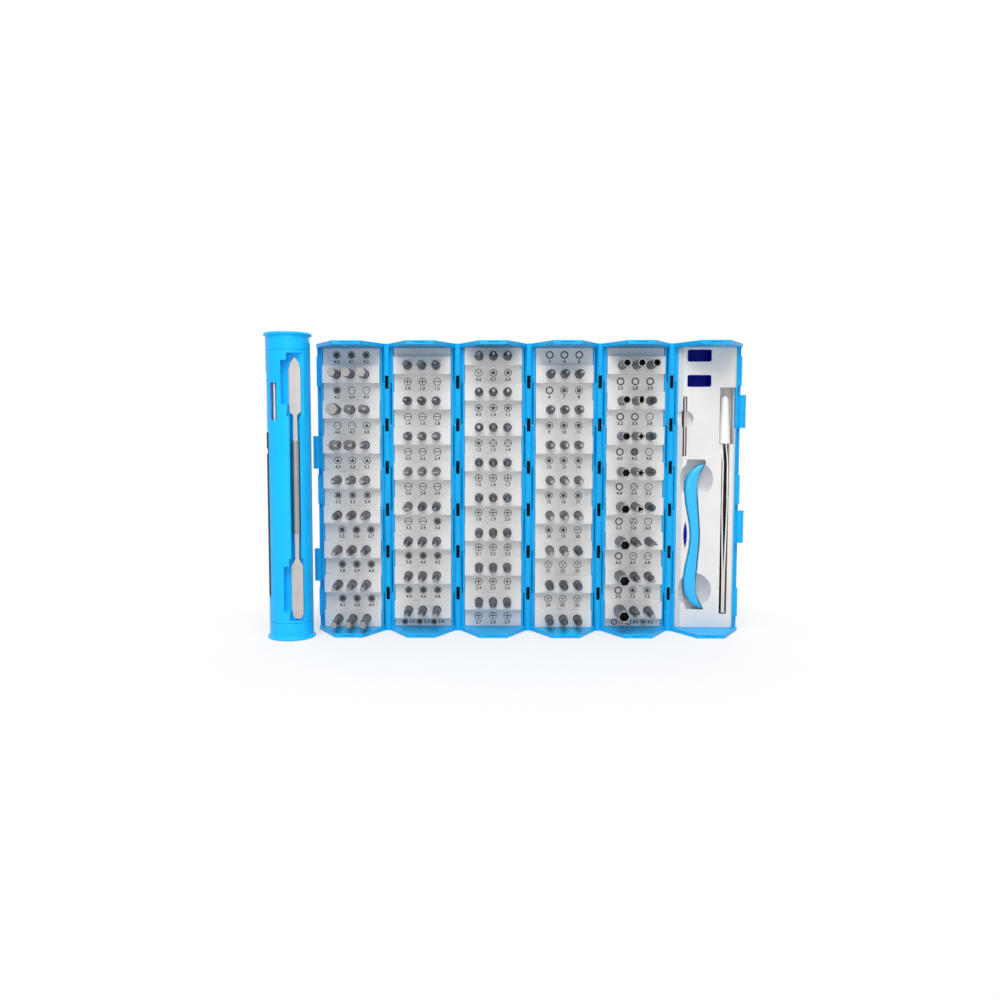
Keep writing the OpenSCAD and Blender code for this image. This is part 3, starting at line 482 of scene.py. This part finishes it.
# what the tube and the last panel hold: the edge radius of each kind
toolLook = {"spudger": 0.25, "tweezers": 0.12, "card": 0.12, "pick": 0.15, "cap": 0.3, "grip": 0.35,
            "plain": 0}
tools = {}
for name, key, slot, material in (
        ("spudger", "spudger", "tool_steel", brushedSteel),
        ("tweezers_left_arm", "tweezers", "tool_steel", polishedSteel),
        ("tweezers_right_arm", "tweezers", "tool_steel", polishedSteel),
        ("opening_card", "card", "tool_steel", brushedSteel),
        ("opening_pick", "pick", "pick_plastic", navyPlastic),
        ("driver_shaft", "plain", "tool_steel", brushedSteel),
        ("driver_grip", "grip", "grip_plastic", gripNylon),
        ("driver_end_cap", "grip", "grip_plastic", gripNylon),
        ("magnetiser", "plain", "magnet_plastic", navyPlastic),
        ("tweezers_tip_cap", "cap", "tip_cap_plastic", milkyVinyl)):
    tool = easedCopy(name, toolLook[key], weighted=key != "plain")
    tools[name] = settle(tool, bodyOf[name], slot, material, name)

# the tweezers' sides get painted shade, and the spudger's round grip is ground across
finishLook = {"shadedSideFacing": 0.6, "gripLow": 0.328, "gripHigh": 0.687}
for name in ("tweezers_left_arm", "tweezers_right_arm"):
    paintFaces(tools[name], paintedSideShadeSteel, lambda face: abs(face.normal.x) > finishLook["shadedSideFacing"])
low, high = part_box("spudger")
gripLow, gripHigh = (low.z + finishLook[key] * (high.z - low.z) for key in ("gripLow", "gripHigh"))
paintFaces(tools["spudger"], grippedSteel, lambda face: gripLow < face.center.z < gripHigh)
print("tools done")

# pry tool: one soft S of polished plastic
pryLook = {"outlineShare": 30, "roundOver": 1.3, "segments": 4, "voxel": 0.28, "softness": 0.5, "rounds": 24,
           "smoothAngle": 60}
pry = easedCopy("pry_tool", 0)


def runsThrough(edge):
    a, b = (pry.data.vertices[k].co for k in edge.vertices)
    return abs(a.x - b.x) < samePoint and abs(a.z - b.z) < samePoint


selectWhere(pry, "EDGE", runsThrough)
bpy.ops.mesh.bevel(offset_type="PERCENT", offset_pct=pryLook["outlineShare"], segments=pryLook["segments"],
                   affect="EDGES", clamp_overlap=False)
selectWhere(pry, "FACE", lambda face: abs(face.normal.y) > facing)
bpy.ops.mesh.region_to_loop()
bpy.ops.mesh.bevel(offset=pryLook["roundOver"] * mm, segments=pryLook["segments"], affect="EDGES",
                   clamp_overlap=False)
bpy.ops.object.mode_set(mode="OBJECT")
addModifier(pry, "REMESH", mode="VOXEL", voxel_size=pryLook["voxel"] * mm)
addModifier(pry, "SMOOTH", factor=pryLook["softness"], iterations=pryLook["rounds"])
smooth(pry, pryLook["smoothAngle"], False)
settle(pry, "pry_tool", "pry_plastic", azureAcetal, "pry_tool")
print("pry tool done")

# labels: one icon of each kind and each number are drawn once and copied to every place
labelLook = {"iconRadius": 2.2, "ringSides": 32, "lineWidth": 0.38, "boldWidth": 0.75, "iconUp": 1.0,
             "numberDown": 2.75, "numberHigh": 1.8, "numberBold": 0.09, "numberSteps": 2, "digitShare": 0.7,
             "columns": (-8.3, 0, 8.3), "lift": 0.03, "shiftPanel": 0, "shiftBelowRow": 4, "lowShift": 1.9,
             "halfIconX": -2.2, "halfNumberX": 1.9, "halfIconSize": 0.8}


def flatMark(sides, radius, place=(0, 0), turn=0):
    deselect()
    bpy.ops.mesh.primitive_circle_add(vertices=sides, radius=radius * mm, fill_type="NGON",
                                      location=(place[0] * mm, place[1] * mm, 0),
                                      rotation=(0, 0, math.radians(turn)))
    return bpy.context.object


def ringMark(width):
    mark = flatMark(labelLook["ringSides"], labelLook["iconRadius"])
    startEditing(mark, "FACE")
    bpy.ops.mesh.select_all(action="SELECT")
    bpy.ops.mesh.inset(thickness=width * mm, depth=0)
    bpy.ops.mesh.delete(type="FACE")
    bpy.ops.object.mode_set(mode="OBJECT")
    return mark


def barMark(long, wide, place=(0, 0), turn=0):
    mark = flatMark(4, 1, place, turn)
    startEditing(mark, "VERT")
    bpy.ops.mesh.select_all(action="SELECT")
    bpy.ops.transform.rotate(value=math.radians(45), orient_axis="Z", center_override=mark.location)
    bpy.ops.object.mode_set(mode="OBJECT")
    mark.scale = (long / math.sqrt(2), wide / math.sqrt(2), 1)
    return mark


def starMark(points, outer, inner):
    mark = flatMark(2 * points, outer)
    selectWhere(mark, "VERT", lambda vertex: vertex.index % 2)
    bpy.ops.transform.resize(value=(inner / outer, inner / outer, 1), center_override=(0, 0, 0))
    bpy.ops.object.mode_set(mode="OBJECT")
    return mark


def around(radius, turn):
    return radius * math.cos(math.radians(turn)), radius * math.sin(math.radians(turn))


def makeIcon(kind):
    bold = kind in ("nut", "crossNut")
    marks = [ringMark(labelLook["boldWidth"] if bold else labelLook["lineWidth"])]
    if kind == "hexagon":
        marks += [flatMark(sides=6, radius=1.75)]
    elif kind == "twoDots":
        marks += [flatMark(sides=10, radius=0.34, place=(x, 0.1)) for x in (-0.85, 0.85)]
    elif kind == "triangle":
        marks += [flatMark(sides=3, radius=1.5, place=(0, -0.15))]
    elif kind == "square":
        marks += [flatMark(sides=4, radius=1.7, turn=45)]
    elif kind == "cross":
        marks += [barMark(long=3.2, wide=0.5, turn=turn) for turn in (0, 90)]
    elif kind == "slot":
        marks += [barMark(long=3.6, wide=0.42)]
    elif kind == "pry":
        marks += [barMark(long=2.0, wide=0.42, place=(0, 0.2))]
    elif kind == "wings":
        marks += [barMark(long=1.5, wide=0.42, place=around(0.75, turn + 180), turn=turn)
                  for turn in (90, 210, 330)]
    elif kind == "star":
        marks += [starMark(points=5, outer=1.75, inner=0.75)]
    elif kind == "lobes":
        marks += [starMark(points=6, outer=1.7, inner=0.9)]
    elif kind == "fourWings":
        marks += [barMark(long=1.1, wide=0.6, place=around(1.15, turn), turn=turn)
                  for turn in (0, 90, 180, 270)]
    elif kind == "dot":
        marks += [flatMark(sides=10, radius=0.3)]
    elif kind == "crossNut":
        marks += [flatMark(sides=8, radius=0.75, place=around(0.95, turn)) for turn in (45, 135, 225, 315)]
    elif kind == "threeLobes":
        marks += [flatMark(sides=10, radius=0.55, place=around(1.0, turn)) for turn in (90, 210, 330)]
    return joinMarks(marks, "icon_" + kind)


def joinMarks(marks, name):
    deselect()
    for mark in marks:
        mark.select_set(True)
    bpy.context.view_layer.objects.active = marks[0]
    bpy.ops.object.transform_apply(location=True, rotation=True, scale=True)
    if len(marks) > 1:
        bpy.ops.object.join()
    mark = bpy.context.object
    mark.name = name
    return mark


def makeNumber(text):
    deselect()
    bpy.ops.object.text_add(location=(0, 0, 0))
    mark = bpy.context.object
    mark.data.body = text
    mark.data.align_x = "CENTER"
    mark.data.align_y = "CENTER"
    mark.data.size = labelLook["numberHigh"] * mm / labelLook["digitShare"]
    mark.data.resolution_u = labelLook["numberSteps"]
    mark.data.offset = labelLook["numberBold"] * mm
    bpy.ops.object.convert(target="MESH")
    mark.name = "number_" + text
    return mark


def placeMark(model, x, z, size=1.0):
    mark = bpy.data.objects.new("label", model.data.copy())
    bpy.context.scene.collection.objects.link(mark)
    mark.location = (x, hingeY - labelLook["lift"] * mm, z)
    mark.rotation_euler = (math.radians(90), 0, 0)
    mark.scale = (size, size, 1)
    return mark


panelLabels = [
    {"above": True, "stagger": 1, "first": 4.0, "step": 0.1, "icons":
     ["hexagon"] * 4 + ["twoDots"] * 4 + ["triangle"] * 4 + ["square"] * 4 + ["hexagon"] * 8},
    {"above": False, "stagger": 0.5, "first": 0.8, "step": 0.2, "icons":
     ["cross"] * 2 + ["slot"] * 12 + ["hexagon"] * 10},
    {"above": False, "stagger": 0, "first": 0.6, "step": 0.1, "icons":
     ["wings"] + ["star"] * 6 + ["fourWings"] * 2 + ["cross"] * 15},
    {"above": True, "stagger": 1, "first": 3, "step": 1, "icons":
     ["nut"] * 4 + ["lobes"] * 13 + ["wings"] * 7},
    {"above": False, "stagger": 0.5, "first": 2.5, "step": 0.25, "icons":
     ["nut"] * 5 + ["dot", "nut", "crossNut", "dot", "nut", "fourWings", "dot", "nut", "threeLobes", "dot",
                    "nut", "pry", "slot", "nut", "lobes", "lobes", "nut", "nut", "lobes"]}]
icons = {kind: makeIcon(kind) for kind in sorted({k for label in panelLabels for k in label["icons"]})}
numbers = {}
for index, label in enumerate(panelLabels):
    marks = []
    for k, kind in enumerate(label["icons"]):
        row, column = divmod(k, len(labelLook["columns"]))
        stripZ = rowHeight(label["stagger"], row) + (stripHigh if label["above"] else -stripHigh)
        x = panelX[index] + labelLook["columns"][column] * mm
        if index == labelLook["shiftPanel"] and row > labelLook["shiftBelowRow"]:
            x += labelLook["lowShift"] * mm
        value = label["first"] + label["step"] * k
        text = f"{value:.0f}" if label["step"] >= 1 else f"{value:.1f}"
        if text not in numbers:
            numbers[text] = makeNumber(text)
        if stripZ - stripHigh / 2 < insertLow - mm:  # half a strip is left, so they stand side by side
            halfZ = (insertLow + stripZ + stripHigh / 2) / 2
            iconX, numberX = (x + labelLook[key] * mm for key in ("halfIconX", "halfNumberX"))
            marks += [placeMark(icons[kind], iconX, halfZ, labelLook["halfIconSize"]),
                      placeMark(numbers[text], numberX, halfZ)]
        else:
            marks += [placeMark(icons[kind], x, stripZ + labelLook["iconUp"] * mm),
                      placeMark(numbers[text], x, stripZ - labelLook["numberDown"] * mm)]
    labelPiece = joinMarks(marks, f"labels_{index + 1}")
    settle(labelPiece, f"panel_{index + 1}", None, labelInk)
for model in list(icons.values()) + list(numbers.values()):
    bpy.data.objects.remove(model)
print("labels done")

# floor: paper that catches the shadow near the set and fades to plain white further out
stageLook = {"floorSize": 6.0, "floorTone": "#E9EBEE", "white": "#FFFFFF", "fadeFrom": 0.07, "fadeTo": 0.2,
             "least": 0.3, "world": 0.34}


# 1 on rays that carry what the camera sees, straight, mirrored or through something clear
def seenRays(tree):
    rays = addNode(tree, "LightPath").outputs
    seen = rays["Is Camera Ray"]
    for kind in ("Is Glossy Ray", "Is Transmission Ray"):
        seen = addNode(tree, "Math", {0: seen, 1: rays[kind]}, operation="MAXIMUM").outputs[0]
    return seen


deselect()
bpy.ops.mesh.primitive_plane_add(size=stageLook["floorSize"], location=(0, 0, 0))
floor = bpy.context.object
floor.name = "floor"
material, tree = newMaterial("white_paper_sweep")
floorPlace = addNode(tree, "TexCoord").outputs["Object"]
distance = addNode(tree, "VectorMath", {0: floorPlace}, operation="LENGTH")
fade = addNode(tree, "MapRange", {"Value": distance.outputs["Value"], "From Min": stageLook["fadeFrom"],
                                  "From Max": stageLook["fadeTo"], "To Min": stageLook["least"],
                                  "To Max": 1.0}, interpolation_type="SMOOTHSTEP")
amount = addNode(tree, "Math", {0: seenRays(tree), 1: fade.outputs["Result"]}, operation="MULTIPLY")
paper = addNode(tree, "BsdfDiffuse", {"Color": linear(stageLook["floorTone"])})
white = addNode(tree, "Emission", {"Color": linear(stageLook["white"]), "Strength": 1.0})
mixed = addNode(tree, "MixShader", {0: amount.outputs[0], 1: paper.outputs[0], 2: white.outputs[0]})
addNode(tree, "OutputMaterial", {"Surface": mixed.outputs[0]})
floor.data.materials.append(material)

# world: soft light on the set, plain white to the camera
world = bpy.data.worlds.new("studio")
bpy.context.scene.world = world
world.use_nodes = True
tree = world.node_tree
tree.nodes.clear()
soft = addNode(tree, "Background", {"Color": linear(stageLook["white"]), "Strength": stageLook["world"]})
white = addNode(tree, "Background", {"Color": linear(stageLook["white"]), "Strength": 1.0})
mixed = addNode(tree, "MixShader", {0: seenRays(tree), 1: soft.outputs[0], 2: white.outputs[0]})
addNode(tree, "OutputWorld", {"Surface": mixed.outputs[0]})

# lamps, in metres: a share of 1 lights a facing surface about as much as a world of strength 1
aimHigh = 0.08
wattsPerShare = 9.8
lampLook = [
    {"name": "top_softbox", "place": (-0.06, -0.55, 0.95), "size": 0.8, "share": 1.1},
    {"name": "front_softbox", "place": (0.05, -1.1, 0.35), "size": 0.6, "share": 0.1},
    {"name": "back_softbox", "place": (0.1, 1.0, 0.55), "size": 0.8, "share": 0.3}]
for look in lampLook:
    deselect()
    bpy.ops.object.light_add(type="AREA", location=look["place"])
    lamp = bpy.context.object
    lamp.name = look["name"]
    aim = Vector((0, 0, aimHigh)) - lamp.location
    lamp.rotation_euler = aim.to_track_quat("-Z", "Y").to_euler()
    lamp.data.size = look["size"]
    lamp.data.energy = look["share"] * wattsPerShare * aim.length_squared

# camera: place in millimetres, angles in degrees
cameraLook = {"place": (-12.12, -504.4, 113.86), "yaw": -0.686, "pitch": -4.324, "lens": 32.65, "sensor": 36,
              "shift": 0.024, "clip": 10}
deselect()
cameraTurn = (math.radians(90 + cameraLook["pitch"]), 0, math.radians(-cameraLook["yaw"]))
bpy.ops.object.camera_add(location=[c * mm for c in cameraLook["place"]], rotation=cameraTurn)
camera = bpy.context.object
camera.data.sensor_width = cameraLook["sensor"]
camera.data.lens = cameraLook["lens"]
camera.data.shift_x = cameraLook["shift"]
camera.data.clip_start = cameraLook["clip"] * mm
bpy.context.scene.camera = camera
bpy.context.scene.view_settings.view_transform = "Standard"
print("stage set")
